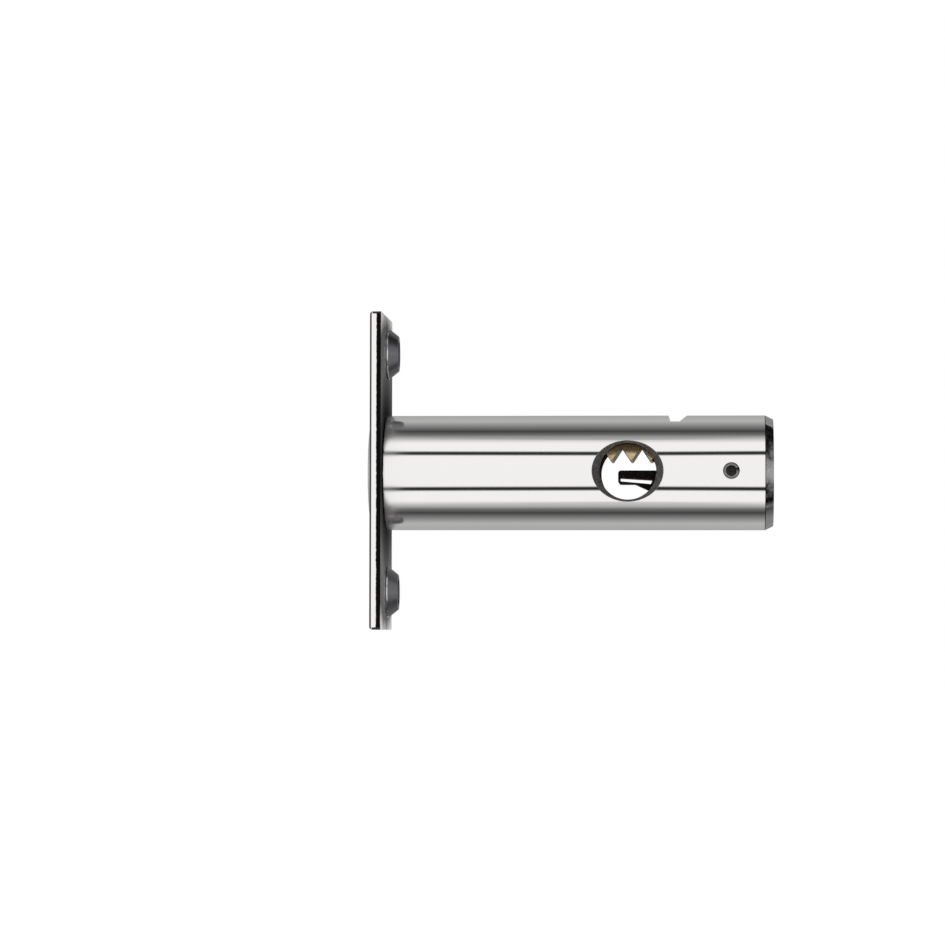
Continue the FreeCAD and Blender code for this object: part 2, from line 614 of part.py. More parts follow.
pieces = [
    make_faceplate(),
    make_case_tube(),
    make_bolt(),
    make_end_plug(),
    make_roll_pin(),
    make_release_lever(),
    make_lever_spring(),
]
doc.recompute()
check(pieces)
os.makedirs("parts", exist_ok=True)
for piece in pieces:
    piece.Shape.exportStep(f"parts/{piece.Label}.step")
    box = piece.Shape.BoundBox
    print(f"{piece.Label}: {piece.Shape.Volume:.1f} mm3, x {box.XMin:.2f} to {box.XMax:.2f}, "
          f"y {box.YMin:.2f} to {box.YMax:.2f}, z {box.ZMin:.2f} to {box.ZMax:.2f}")
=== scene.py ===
import logging
import math
from dataclasses import dataclass
from enum import Enum

import bpy
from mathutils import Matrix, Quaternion, Vector


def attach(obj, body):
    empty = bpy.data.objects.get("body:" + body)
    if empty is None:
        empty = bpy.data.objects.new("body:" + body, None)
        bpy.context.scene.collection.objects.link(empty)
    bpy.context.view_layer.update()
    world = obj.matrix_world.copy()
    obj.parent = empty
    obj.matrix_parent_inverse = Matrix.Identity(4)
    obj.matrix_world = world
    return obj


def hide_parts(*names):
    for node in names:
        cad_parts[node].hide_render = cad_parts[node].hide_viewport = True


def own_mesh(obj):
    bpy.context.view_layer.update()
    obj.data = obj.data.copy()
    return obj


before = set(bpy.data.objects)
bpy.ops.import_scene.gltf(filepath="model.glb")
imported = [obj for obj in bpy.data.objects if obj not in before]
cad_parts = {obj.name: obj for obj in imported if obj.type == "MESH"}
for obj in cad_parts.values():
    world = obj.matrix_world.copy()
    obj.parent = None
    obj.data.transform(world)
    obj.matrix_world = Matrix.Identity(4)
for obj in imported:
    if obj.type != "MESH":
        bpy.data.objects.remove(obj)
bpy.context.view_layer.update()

MM = 0.001
LOG = logging.getLogger("rack_bolt")


# ---------------------------------------------------------------------------------------------
# Colour and nodes
# ---------------------------------------------------------------------------------------------


def linear(hex_code: str, alpha: float = 1.0) -> tuple[float, float, float, float]:
    """Turns an sRGB hex colour into the linear values that shaders work in.

    Args:
        hex_code: Six hex digits after a hash sign.
        alpha: Opacity to carry along.

    Returns:
        Linear red, green, blue and the alpha.
    """
    channels = [int(hex_code[place:place + 2], 16) / 255.0 for place in (1, 3, 5)]
    curve = [c / 12.92 if c <= 0.04045 else ((c + 0.055) / 1.055) ** 2.4 for c in channels]
    return (*curve, alpha)


def add_node(tree: bpy.types.NodeTree, kind: str, settings: dict | None = None,
             output: int | str = 0) -> bpy.types.NodeSocket:
    """Adds one shader node with its settings and links.

    Args:
        tree: Node tree to add to.
        kind: Blender's name of the node type, without its "ShaderNode".
        settings: By input number, input name or attribute: a value, or a socket to link.
        output: Which of the node's outputs to hand back.

    Returns:
        The chosen output socket, whose `node` is the new node.
    """
    node = tree.nodes.new(f"ShaderNode{kind}")
    for key, value in (settings or {}).items():
        if isinstance(value, bpy.types.NodeSocket):
            tree.links.new(value, node.inputs[key])
        elif isinstance(key, int) or key in node.inputs:
            node.inputs[key].default_value = value
        else:
            setattr(node, key, value)
    return node.outputs[output] if len(node.outputs) else node.inputs[0]


@dataclass(frozen=True)
class Places:
    """Sockets that tell a shader where on the lock it is, in metres.

    Attributes:
        point: Position in the lock's own frame.
        x: Distance along the tube's axis from the faceplate's back.
        y: Distance across, along the key's axis.
        z: Height above the tube's axis.
        radius: Distance from the tube's axis.
        key_radius: Distance from the key's axis.
        pin_radius: Distance from the split pin's axis.
        normal_x: How far the surface faces along the tube.
        size_x: How far it faces along the tube, either way.
        size_z: How far it faces up or down.
    """

    point: bpy.types.NodeSocket
    x: bpy.types.NodeSocket
    y: bpy.types.NodeSocket
    z: bpy.types.NodeSocket
    radius: bpy.types.NodeSocket
    key_radius: bpy.types.NodeSocket
    pin_radius: bpy.types.NodeSocket
    normal_x: bpy.types.NodeSocket
    size_x: bpy.types.NodeSocket
    size_z: bpy.types.NodeSocket


def read_places(tree: bpy.types.NodeTree, key_x: float = 37.1 * MM,
                pin_x: float = 52.7 * MM) -> Places:
    """Adds the nodes that read an object's own coordinates.

    Args:
        tree: Node tree to add to.
        key_x: Where the key's axis crosses the tube's.
        pin_x: Where the split pin's axis crosses the tube's.

    Returns:
        The sockets that the finishes share.
    """
    point = add_node(tree, "TexCoord", output="Object")
    x, y, z = add_node(tree, "SeparateXYZ", {0: point}).node.outputs
    facing = add_node(tree, "TexCoord", output="Normal")
    normal_x, _, normal_z = add_node(tree, "SeparateXYZ", {0: facing}).node.outputs
    across = add_node(tree, "CombineXYZ", {1: y, 2: z})
    radius = add_node(tree, "VectorMath", {"operation": "LENGTH", 0: across}, 1)
    around = []
    for axis_x in (key_x, pin_x):
        away = add_node(tree, "Math", {"operation": "SUBTRACT", 0: x, 1: axis_x})
        across = add_node(tree, "CombineXYZ", {0: away, 2: z})
        around.append(add_node(tree, "VectorMath", {"operation": "LENGTH", 0: across}, 1))
    size_x = add_node(tree, "Math", {"operation": "ABSOLUTE", 0: normal_x})
    size_z = add_node(tree, "Math", {"operation": "ABSOLUTE", 0: normal_z})
    return Places(point, x, y, z, radius, *around, normal_x, size_x, size_z)


def eased(low: float, high: float, at_low: float = 0.0, at_high: float = 1.0) -> dict:
    """Settings of a Map Range that eases from one level to another.

    Args:
        low: Value at which the change starts.
        high: Value at which the change ends.
        at_low: Result below low.
        at_high: Result above high.

    Returns:
        The settings, to which input 0 is added.
    """
    return {"interpolation_type": "SMOOTHSTEP", 1: low, 2: high, 3: at_low, 4: at_high}


def blotches(grain_mm: float, detail: float = 3.0) -> dict:
    """Settings of a Noise Texture whose blotches have a real size.

    Args:
        grain_mm: Size of a blotch in millimetres.
        detail: Octaves of finer noise.

    Returns:
        The settings, to which input 0 is added.
    """
    return {"Scale": 1.0 / (grain_mm * MM), "Detail": detail, "Roughness": 0.55}


# ---------------------------------------------------------------------------------------------
# Finishes
# ---------------------------------------------------------------------------------------------


@dataclass(frozen=True)
class Metal:
    """What every metal finish here shares: a name, a colour and how polished it is.

    Attributes:
        name: Material name, in a maker's words.
        colour: sRGB hex of the clean metal.
        roughness: Roughness of the clean metal.
    """

    name: str
    colour: str
    roughness: float

    def make(self) -> bpy.types.Material:
        """Builds the material.

        Returns:
            The finished material.
        """
        material = bpy.data.materials.new(self.name)
        material.use_nodes = True
        tree = material.node_tree
        tree.nodes.clear()
        settings = {"Metallic": 1.0, "Base Color": linear(self.colour),
                    "Roughness": self.roughness, **self.surface(tree, read_places(tree))}
        shader = add_node(tree, "BsdfPrincipled", settings)
        add_node(tree, "OutputMaterial", {0: shader})
        return material

    def surface(self, tree: bpy.types.NodeTree, at: Places) -> dict:
        """Adds the nodes of the finish.

        Args:
            tree: The material's tree.
            at: The object's coordinates.

        Returns:
            Shader inputs by name, each a value or a socket.
        """
        return {}


@dataclass(frozen=True)
class PressedChrome(Metal):
    """Chrome plate on a punched steel plate: a mirror in front, dull behind, torn at its edge.

    Attributes:
        shear_line: Where along X the punch's bright shear ends and the torn break starts, m.
        tab_radius: Distance from the tube's axis within which only the two tabs lie, m.
        dimple_step: Height of the step at the foot of a screw hole's dimple, m.
        rim: sRGB hex of the dark reflection painted on the rounded front edge, also used for
            the painted shadow line at the ring's foot.
        torn: sRGB hex of the break.
        tab_dark: sRGB hex of the tabs' faces inside the ring, darker than the plate.
    """

    shear_line: float = -0.68 * MM
    tab_radius: float = 8.75 * MM
    dimple_step: float = 0.4 * MM
    rim: str = "#4A494B"
    torn: str = "#151314"
    tab_dark: str = "#2B2725"

    def surface(self, tree: bpy.types.NodeTree, at: Places) -> dict:
        """Adds the torn edge, the dull back, the dark rim and the faint ripple of sheet."""
        sideways = add_node(tree, "MapRange", {**eased(0.05, 0.35, 1.0, 0.0), 0: at.size_x})
        outside = add_node(tree, "MapRange", {**eased(10.2 * MM, 10.6 * MM), 0: at.radius})
        edge = add_node(tree, "Math", {"operation": "MULTIPLY", 0: sideways, 1: outside})
        tear = self.tear(tree, at, edge)
        dimple = self.dimple(tree, at)
        behind = add_node(tree, "MapRange", {**eased(0.4, 0.9), 0: at.normal_x})
        back = add_node(tree, "Math", {"operation": "MAXIMUM", 0: behind, 1: dimple})
        tone = self.back_tone(tree, at, dimple)
        colour = add_node(tree, "Mix", {"data_type": "RGBA", 0: back, 6: linear(self.colour),
                                        7: tone}, 2)
        colour = add_node(tree, "Mix", {"data_type": "RGBA", 0: tear, 6: colour,
                                        7: linear(self.torn)}, 2)
        # The rounded front edge and corners get a painted dark reflection.
        rim = self.dark_rim(tree, at, sideways, outside)
        colour = add_node(tree, "Mix", {"data_type": "RGBA", 0: rim, 6: colour,
                                        7: linear(self.rim)}, 2)
        # A thin dark line is painted where the tube's swaged ring meets the face, as its
        # shadow.
        ring_shadow = add_node(tree, "Math", {"operation": "COMPARE", 0: at.radius,
                                            1: self.tab_radius + 0.04 * MM, 2: 0.05 * MM})
        colour = add_node(tree, "Mix", {"data_type": "RGBA", 0: ring_shadow, 6: colour,
                                        7: linear(self.rim)}, 2)
        # The tabs' tips are bent over; inside the ring their faces are made dark and rougher.
        tab = add_node(tree, "MapRange", {
            **eased(self.tab_radius - 0.4 * MM, self.tab_radius - 0.3 * MM, 1.0, 0.0),
            0: at.radius})
        colour = add_node(tree, "Mix", {"data_type": "RGBA", 0: tab, 6: colour,
                                        7: linear(self.tab_dark)}, 2)
        polish = add_node(tree, "MapRange", {1: 0.0, 2: 1.0, 3: self.roughness, 4: 0.32,
                                             0: back})
        rough = add_node(tree, "Math", {"operation": "MULTIPLY_ADD", 0: tear, 1: 0.5,
                                        2: polish})
        rough = add_node(tree, "Math", {"operation": "MULTIPLY_ADD", 0: tab, 1: 0.35,
                                        2: rough})
        sheet = add_node(tree, "TexNoise", {**blotches(5.0, 1.0), 0: at.point})
        ripple = add_node(tree, "Bump", {"Distance": 0.008 * MM, "Height": sheet})
        grit = add_node(tree, "TexNoise", {**blotches(0.2, 4.0), 0: at.point})
        grit = add_node(tree, "Math", {"operation": "MULTIPLY", 0: grit, 1: tear})
        break_relief = add_node(tree, "Bump", {"Distance": 0.05 * MM, "Height": grit,
                                               "Normal": ripple})
        # The flat back, not its dimples, is made dull enough not to shine even at a glance, so
        # that its painted shade shows.
        flat_back = add_node(tree, "Math", {"operation": "SUBTRACT", 0: back, 1: dimple,
                                            "use_clamp": True})
        shine = add_node(tree, "MapRange", {1: 0.0, 2: 1.0, 3: 1.0, 4: 0.05, 0: flat_back})
        glance = add_node(tree, "MapRange", {1: 0.0, 2: 1.0, 3: 0.5, 4: 0.0, 0: flat_back})
        return {"Base Color": colour, "Metallic": shine, "Specular IOR Level": glance,
                "Roughness": rough, "Normal": break_relief}

    def tear(self, tree: bpy.types.NodeTree, at: Places,
             edge: bpy.types.NodeSocket) -> bpy.types.NodeSocket:
        """Adds a mask of the edge's break: bright where the punch sheared, dark where it tore.

        Args:
            tree: The material's tree.
            at: The object's coordinates.
            edge: Mask of the plate's outer edge.

        Returns:
            A socket that is 1 on the torn part of the edge.
        """
        wander = add_node(tree, "TexNoise", {**blotches(0.45, 5.0), 0: at.point})
        line = add_node(tree, "Math", {"operation": "MULTIPLY_ADD", 0: wander, 1: 0.28 * MM,
                                       2: at.x})
        start = self.shear_line + 0.14 * MM
        torn = add_node(tree, "MapRange", {**eased(start - 0.05 * MM, start + 0.05 * MM),
                                           0: line})
        in_sheet = add_node(tree, "MapRange", {**eased(0.0, 0.05 * MM, 1.0, 0.0), 0: at.x})
        tear = add_node(tree, "Math", {"operation": "MULTIPLY", 0: edge, 1: torn})
        return add_node(tree, "Math", {"operation": "MULTIPLY", 0: tear, 1: in_sheet})

    def dimple(self, tree: bpy.types.NodeTree, at: Places) -> bpy.types.NodeSocket:
        """Adds a mask of the screw holes' dimples.

        Args:
            tree: The material's tree.
            at: The object's coordinates.

        Returns:
            A socket that is 1 on the outside of the dimples.
        """
        raised = add_node(tree, "MapRange", {**eased(0.05 * MM, 0.15 * MM), 0: at.x})
        outward = add_node(tree, "MapRange", {**eased(-0.3, -0.1), 0: at.normal_x})
        return add_node(tree, "Math", {"operation": "MULTIPLY", 0: raised, 1: outward})

    def back_tone(self, tree: bpy.types.NodeTree, at: Places,
                  dimple: bpy.types.NodeSocket) -> bpy.types.NodeSocket:
        """Adds the back's colour: painted shade and reflection, darkest round the tube and
        lighter towards the ends.

        Args:
            tree: The material's tree.
            at: The object's coordinates.
            dimple: Mask of the dimples.

        Returns:
            The back's colour.
        """
        # Painted shade and reflection: the farther from the tube's axis, the lighter the back,
        # in blotchy steps.
        cloud = add_node(tree, "TexNoise", {**blotches(3.5, 4.0), 0: at.point})
        shade_distance = add_node(tree, "Math", {"operation": "MULTIPLY_ADD", 0: cloud, 1: 3.0 * MM,
                                        2: at.radius})
        share = add_node(tree, "MapRange", {1: 0.0, 2: 30.0 * MM, 0: shade_distance})
        tone = add_node(tree, "ValToRGB", {0: share})
        levels = tone.node.color_ramp.elements
        for place, level in ((0.33, "#161516"), (0.45, "#3E3D3D"), (0.60, "#6A6968"),
                             (0.80, "#5C5B5A"), (0.88, "#BDBCBB")):
            levels.new(place).color = linear(level)
        levels[0].color, levels[-1].color = linear("#161516"), linear("#D2D1D0")
        # The dimples' domes are drawn steel with little chrome.
        tone = add_node(tree, "Mix", {"data_type": "RGBA", 0: dimple, 6: tone,
                                      7: linear("#77767A")}, 2)
        # A painted highlight: a bright line round the step at each dome's foot, broken into
        # patches.
        step = add_node(tree, "Math", {"operation": "COMPARE", 0: at.x, 1: self.dimple_step,
                                       2: 0.09 * MM})
        patchy = add_node(tree, "TexNoise", {**blotches(1.6, 2.0), 0: at.point})
        patchy = add_node(tree, "MapRange", {**eased(0.40, 0.58), 0: patchy})
        step = add_node(tree, "Math", {"operation": "MULTIPLY", 0: step, 1: patchy})
        step = add_node(tree, "Math", {"operation": "MULTIPLY", 0: step, 1: dimple})
        return add_node(tree, "Mix", {"data_type": "RGBA", 0: step, 6: tone,
                                      7: linear("#FFFFFF")}, 2)

    def dark_rim(self, tree: bpy.types.NodeTree, at: Places, sideways: bpy.types.NodeSocket,
                 outside: bpy.types.NodeSocket) -> bpy.types.NodeSocket:
        """Adds a mask of the rounded front edge and corners, where a dark reflection is
        painted in.

        Args:
            tree: The material's tree.
            at: The object's coordinates.
            sideways: Mask of what faces away from the tube's axis.
            outside: Mask of what lies outside the tube.

        Returns:
            A socket that is 1 on the rim.
        """
        leans = add_node(tree, "MapRange", {**eased(0.25, 0.40), 0: at.size_x})
        not_flat = add_node(tree, "MapRange", {**eased(0.955, 0.985, 1.0, 0.0), 0: at.size_x})
        front = add_node(tree, "MapRange", {**eased(-1.25 * MM, -1.2 * MM, 1.0, 0.0), 0: at.x})
        rim = add_node(tree, "Math", {"operation": "MULTIPLY", 0: leans, 1: not_flat})
        rim = add_node(tree, "Math", {"operation": "MULTIPLY", 0: rim, 1: front})
        corner = add_node(tree, "MapRange", {**eased(0.2, 0.4), 0: at.size_z})
        not_top = add_node(tree, "MapRange", {**eased(0.97, 0.99, 1.0, 0.0), 0: at.size_z})
        corner = add_node(tree, "Math", {"operation": "MULTIPLY", 0: corner, 1: not_top})
        corner = add_node(tree, "Math", {"operation": "MULTIPLY", 0: corner, 1: sideways})
        rim = add_node(tree, "Math", {"operation": "MAXIMUM", 0: rim, 1: corner})
        rim = add_node(tree, "Math", {"operation": "MULTIPLY", 0: rim, 1: outside})
        return add_node(tree, "Math", {"operation": "MULTIPLY", 0: rim,
                                       1: self.near_edge(tree, at)})

    def near_edge(self, tree: bpy.types.NodeTree, at: Places) -> bpy.types.NodeSocket:
        """Adds a mask of the plate's outermost half millimetre.

        Args:
            tree: The material's tree.
            at: The object's coordinates.

        Returns:
            A socket that is 1 within half a millimetre of the plate's outline.
        """
        masks = []
        for place, half in ((at.y, 11.0 * MM), (at.z, 24.0 * MM)):
            away = add_node(tree, "Math", {"operation": "ABSOLUTE", 0: place})
            masks.append(add_node(tree, "MapRange", {
                **eased(half - 0.6 * MM, half - 0.5 * MM), 0: away}))
        return add_node(tree, "Math", {"operation": "MAXIMUM", 0: masks[0], 1: masks[1]})


@dataclass(frozen=True)
class DrawnTubeNickel(Metal):
    """Bright nickel on drawn steel tube: mirror outside, dark steel where it is cut.

    Attributes:
        tube_radius: Outside radius, m.
        sink_radius: Radius of the key hole's countersink at the surface, m.
        tube_back: Where along X the tube ends, m.
        glint_radius: Distance from the tube's axis of the painted highlights in the slots, m.
        glint_pitch: Distance between two of those highlights, m.
        bare: sRGB hex of cut steel.
        mouth_brass_reflection: sRGB hex of the brass's reflection painted on the steel inside
            the mouth.
    """

    tube_radius: float = 8.75 * MM
    sink_radius: float = 5.42 * MM
    tube_back: float = 57.9 * MM
    glint_radius: float = 7.65 * MM
    glint_pitch: float = 0.36 * MM
    bare: str = "#605D5C"
    mouth_brass_reflection: str = "#7D6353"

    def surface(self, tree: bpy.types.NodeTree, at: Places) -> dict:
        """Adds the cut steel, the painted dark lines at the faceplate and at the sawn end, the
        painted highlights in the slots, the duller gloss near the faceplate and the drawn
        skin.
        """
        slot_floor = self.slot_floor(tree, at)
        cut = self.cut_wall(tree, at, slot_floor)
        soot = add_node(tree, "TexNoise", {**blotches(0.35, 5.0), 0: at.point})
        steel = self.bare_steel(tree, at, soot)
        colour = add_node(tree, "Mix", {"data_type": "RGBA", 0: cut, 6: linear(self.colour),
                                        7: steel}, 2)
        # Painted highlights: a row of bright ticks on the slots' floors.
        painted_glints = self.painted_glints(tree, at, slot_floor)
        colour = add_node(tree, "Mix", {"data_type": "RGBA", 0: painted_glints, 6: colour,
                                        7: linear("#CFC9C5")}, 2)
        # Painted shade: a thin black shadow line in the corner at the faceplate and a dark
        # reflection at the sawn end.
        painted_dark_lines = self.painted_dark_lines(tree, at)
        colour = add_node(tree, "Mix", {"data_type": "RGBA", 0: painted_dark_lines, 6: colour,
                                        7: linear("#121112")}, 2)
        along = add_node(tree, "Mapping", {0: at.point, "Scale": (0.4, 1.0, 1.0)})
        smear = add_node(tree, "TexNoise", {**blotches(4.0, 3.0), 0: along})
        polish = add_node(tree, "MapRange", {
            **eased(0.35, 0.75, self.roughness, self.roughness + 0.03), 0: smear})
        # The wheel can't reach into the corner, so the gloss falls off near the plate.
        cloudy = add_node(tree, "MapRange", {**eased(0.0, 5.5 * MM, 0.13, 0.0), 0: at.x})
        polish = add_node(tree, "Math", {"operation": "ADD", 0: polish, 1: cloudy})
        rough = add_node(tree, "Math", {"operation": "MULTIPLY_ADD", 0: cut, 1: 0.45,
                                        2: polish})
        shine = add_node(tree, "MapRange", {1: 0.0, 2: 1.0, 3: 1.0, 4: 0.45, 0: cut})
        draw = add_node(tree, "TexNoise", {**blotches(7.0, 1.0), 0: along})
        ripple = add_node(tree, "Bump", {"Distance": 0.005 * MM, "Height": draw})
        chatter = add_node(tree, "Math", {"operation": "MULTIPLY", 0: soot, 1: cut})
        tooled = add_node(tree, "Bump", {"Distance": 0.03 * MM, "Height": chatter,
                                         "Normal": ripple})
        return {"Base Color": colour, "Metallic": shine, "Roughness": rough,
                "Normal": tooled}

    def slot_floor(self, tree: bpy.types.NodeTree, at: Places) -> bpy.types.NodeSocket:
        """Adds a mask of the floors of the two slots in the swaged ring.

        Args:
            tree: The material's tree.
            at: The object's coordinates.

        Returns:
            A socket that is 1 on the slots' floors.
        """
        faces_front = add_node(tree, "MapRange", {**eased(-0.95, -0.85, 1.0, 0.0),
                                                  0: at.normal_x})
        in_slot = add_node(tree, "MapRange", {**eased(-1.2 * MM, -1.0 * MM), 0: at.x})
        return add_node(tree, "Math", {"operation": "MULTIPLY", 0: faces_front, 1: in_slot})

    def cut_wall(self, tree: bpy.types.NodeTree, at: Places,
                 slot_floor: bpy.types.NodeSocket) -> bpy.types.NodeSocket:
        """Adds a mask of the bare steel under the plated skin.

        Args:
            tree: The material's tree.
            at: The object's coordinates.
            slot_floor: Mask of the ring's slots.

        Returns:
            A socket that is 1 in the key hole's cone, the bore and the slots.
        """
        below = add_node(tree, "MapRange", {
            **eased(self.tube_radius - 0.10 * MM, self.tube_radius - 0.03 * MM, 1.0, 0.0),
            0: at.radius})
        near_key = add_node(tree, "MapRange", {
            **eased(self.sink_radius + 0.1 * MM, self.sink_radius + 0.3 * MM, 1.0, 0.0),
            0: at.key_radius})
        cone = add_node(tree, "Math", {"operation": "MULTIPLY", 0: below, 1: near_key})
        bore = add_node(tree, "MapRange", {
            **eased(self.tube_radius - 1.6 * MM, self.tube_radius - 1.3 * MM, 1.0, 0.0),
            0: at.radius})
        cut = add_node(tree, "Math", {"operation": "MAXIMUM", 0: cone, 1: bore})
        return add_node(tree, "Math", {"operation": "MAXIMUM", 0: cut, 1: slot_floor})

    def bare_steel(self, tree: bpy.types.NodeTree, at: Places,
                   soot: bpy.types.NodeSocket) -> bpy.types.NodeSocket:
        """Adds the colour of the cut steel, sooty inside, with a painted brown reflection of
        the brass in the mouth.

        Args:
            tree: The material's tree.
            at: The object's coordinates.
            soot: Noise that says where soot lies.

        Returns:
            The steel's colour.
        """
        sooted = add_node(tree, "MapRange", {**eased(0.3, 0.7), 0: soot})
        steel = add_node(tree, "Mix", {"data_type": "RGBA", 0: sooted, 6: linear("#3C3A3A"),
                                       7: linear(self.bare)}, 2)
        # Painted reflection: the brass shows brown on the steel near the mouth.
        mouth = add_node(tree, "MapRange", {**eased(0.5 * MM, 1.5 * MM, 0.8, 0.0), 0: at.x})
        return add_node(tree, "Mix", {"data_type": "RGBA", 0: mouth, 6: steel,
                                      7: linear(self.mouth_brass_reflection)}, 2)

    def painted_glints(self, tree: bpy.types.NodeTree, at: Places,
               slot_floor: bpy.types.NodeSocket) -> bpy.types.NodeSocket:
        """Adds a mask of painted highlights: even bright ticks in a row on the slots' floors.

        Args:
            tree: The material's tree.
            at: The object's coordinates.
            slot_floor: Mask of the ring's slots.

        Returns:
            A socket that is 1 on the painted highlights.
        """
        tick = add_node(tree, "Math", {"operation": "MULTIPLY", 0: at.y,
                                        1: 2 * math.pi / self.glint_pitch})
        tick = add_node(tree, "Math", {"operation": "SINE", 0: tick})
        painted_glints = add_node(tree, "MapRange", {**eased(0.1, 0.9), 0: tick})
        band = add_node(tree, "Math", {"operation": "COMPARE", 0: at.radius,
                                       1: self.glint_radius, 2: 0.28 * MM})
        painted_glints = add_node(tree, "Math", {"operation": "MULTIPLY", 0: painted_glints, 1: band})
        return add_node(tree, "Math", {"operation": "MULTIPLY", 0: painted_glints, 1: slot_floor})

    def painted_dark_lines(self, tree: bpy.types.NodeTree, at: Places) -> bpy.types.NodeSocket:
        """Adds a mask of the thin black lines painted at the plate as the corner's shadow and
        at the sawn end as its dark reflection.

        Args:
            tree: The material's tree.
            at: The object's coordinates.

        Returns:
            A socket that is 1 on the black lines.
        """
        wander = add_node(tree, "TexNoise", {**blotches(0.6, 4.0), 0: at.point})
        reach = add_node(tree, "Math", {"operation": "MULTIPLY_ADD", 0: wander,
                                        1: -0.3 * MM, 2: at.x})
        corner = add_node(tree, "MapRange", {**eased(0.02 * MM, 0.12 * MM, 1.0, 0.0),
                                             0: reach})
        ahead = add_node(tree, "MapRange", {**eased(-0.2 * MM, 0.0), 0: at.x})
        painted_dark_lines = add_node(tree, "Math", {"operation": "MULTIPLY", 0: corner, 1: ahead})
        sawn = add_node(tree, "MapRange", {
            **eased(self.tube_back - 0.14 * MM, self.tube_back - 0.08 * MM), 0: at.x})
        return add_node(tree, "Math", {"operation": "MAXIMUM", 0: painted_dark_lines, 1: sawn})


@dataclass(frozen=True)
class TurnedBrass(Metal):
    """Turned brass bar: soft gold, fine rings on its face, painted shade on its rack's flanks.

    Attributes:
        centre_radius: Radius of the lathe centre's mouth, m.
        ring_pitch: Distance between the coarser turning marks, m.
        rack_start: Where along X the rack's cutting starts, m.
        grooves: Radii of the two shallow grooves in its face, m.
        groove_half: Half of a groove's width, m.
        painted_shade: sRGB hex of the painted shade on the rack's flanks.
    """

    centre_radius: float = 1.85 * MM
    ring_pitch: float = 0.16 * MM
    rack_start: float = 30.0 * MM
    grooves: tuple[float, ...] = (2.52 * MM, 4.30 * MM)
    groove_half: float = 0.13 * MM
    painted_shade: str = "#403328"

    def surface(self, tree: bpy.types.NodeTree, at: Places) -> dict:
        """Adds the turning marks, the patchy colour and the painted shade on the rack's
        flanks.
        """
        patch = add_node(tree, "TexNoise", {**blotches(0.8, 4.0), 0: at.point})
        patches = add_node(tree, "MapRange", {**eased(0.3, 0.7), 0: patch})
        colour = add_node(tree, "Mix", {"data_type": "RGBA", 0: patches,
                                        6: linear(self.colour), 7: linear("#E8CA92")}, 2)
        # The lathe centre's cone is browner than the face round it.
        in_cone = add_node(tree, "MapRange", {
            **eased(self.centre_radius - 0.15 * MM, self.centre_radius + 0.02 * MM, 1.0, 0.0),
            0: at.radius})
        in_front = add_node(tree, "MapRange", {**eased(3.0 * MM, 4.0 * MM, 1.0, 0.0), 0: at.x})
        tarnish = add_node(tree, "Math", {"operation": "MULTIPLY", 0: in_cone, 1: in_front})
        colour = add_node(tree, "Mix", {"data_type": "RGBA", 0: tarnish, 6: colour,
                                        7: self.cone_colour(tree, at)}, 2)
        for place in self.grooves:
            colour = self.groove(tree, at, place, in_front, colour)
        # Painted shade: the rack's flanks, and all else past its start that faces along the
        # tube, are darkened.
        leaning = add_node(tree, "MapRange", {**eased(0.25, 0.45), 0: at.size_x})
        in_rack = add_node(tree, "MapRange", {
            **eased(self.rack_start, self.rack_start + 1.0 * MM), 0: at.x})
        shaded = add_node(tree, "Math", {"operation": "MULTIPLY", 0: leaning, 1: in_rack})
        colour = add_node(tree, "Mix", {"data_type": "RGBA", 0: shaded, 6: colour,
                                        7: linear(self.painted_shade)}, 2)
        rough = add_node(tree, "MapRange", {
            **eased(0.2, 0.8, self.roughness - 0.05, self.roughness + 0.08), 0: patch})
        # Turning leaves grooves round the axis, which spread the shine across them.
        around = add_node(tree, "Tangent", {"direction_type": "RADIAL", "axis": "X"})
        brushed = add_node(tree, "MapRange", {1: 0.0, 2: 1.0, 3: 0.25, 4: 0.85,
                                              0: tarnish})
        return {"Base Color": colour, "Roughness": rough, "Normal": self.turned(tree, at),
                "Anisotropic": brushed, "Tangent": around}

    def cone_colour(self, tree: bpy.types.NodeTree, at: Places) -> bpy.types.NodeSocket:
        """Adds the lathe centre's brown, with light streaks from the rim to the point painted
        in as highlights.

        Args:
            tree: The material's tree.
            at: The object's coordinates.

        Returns:
            The cone's colour.
        """
        # Painted highlights: light streaks that run from the rim to the point.
        painted_streak = add_node(tree, "CombineXYZ", {1: at.y, 2: at.z})
        painted_streak = add_node(tree, "VectorMath", {"operation": "NORMALIZE", 0: painted_streak})
        painted_streak = add_node(tree, "TexNoise", {"Scale": 1.3, "Detail": 3.0, 0: painted_streak})
        painted_streak = add_node(tree, "MapRange", {**eased(0.56, 0.66), 0: painted_streak})
        return add_node(tree, "Mix", {"data_type": "RGBA", 0: painted_streak, 6: linear("#907B6C"),
                                      7: linear("#E2CDBD")}, 2)

    def groove(self, tree: bpy.types.NodeTree, at: Places, place: float,
               in_front: bpy.types.NodeSocket,
               colour: bpy.types.NodeSocket) -> bpy.types.NodeSocket:
        """Adds one groove's light floor and a dark line along both its edges.

        Args:
            tree: The material's tree.
            at: The object's coordinates.
            place: The groove's radius, m.
            in_front: Mask of the bolt's front.
            colour: Colour of the face so far.

        Returns:
            The colour with the groove in it.
        """
        away = add_node(tree, "Math", {"operation": "SUBTRACT", 0: at.radius, 1: place})
        away = add_node(tree, "Math", {"operation": "ABSOLUTE", 0: away})
        floor = add_node(tree, "MapRange", {
            **eased(self.groove_half - 0.03 * MM, self.groove_half, 1.0, 0.0), 0: away})
        floor = add_node(tree, "Math", {"operation": "MULTIPLY", 0: floor, 1: in_front})
        colour = add_node(tree, "Mix", {"data_type": "RGBA", 0: floor, 6: colour,
                                        7: linear("#F6E2BC")}, 2)
        edge_line = add_node(tree, "Math", {"operation": "COMPARE", 0: away,
                                       1: self.groove_half, 2: 0.05 * MM})
        edge_line = add_node(tree, "Math", {"operation": "MULTIPLY", 0: edge_line, 1: in_front})
        return add_node(tree, "Mix", {"data_type": "RGBA", 0: edge_line, 6: colour,
                                      7: linear("#7E5A2C")}, 2)

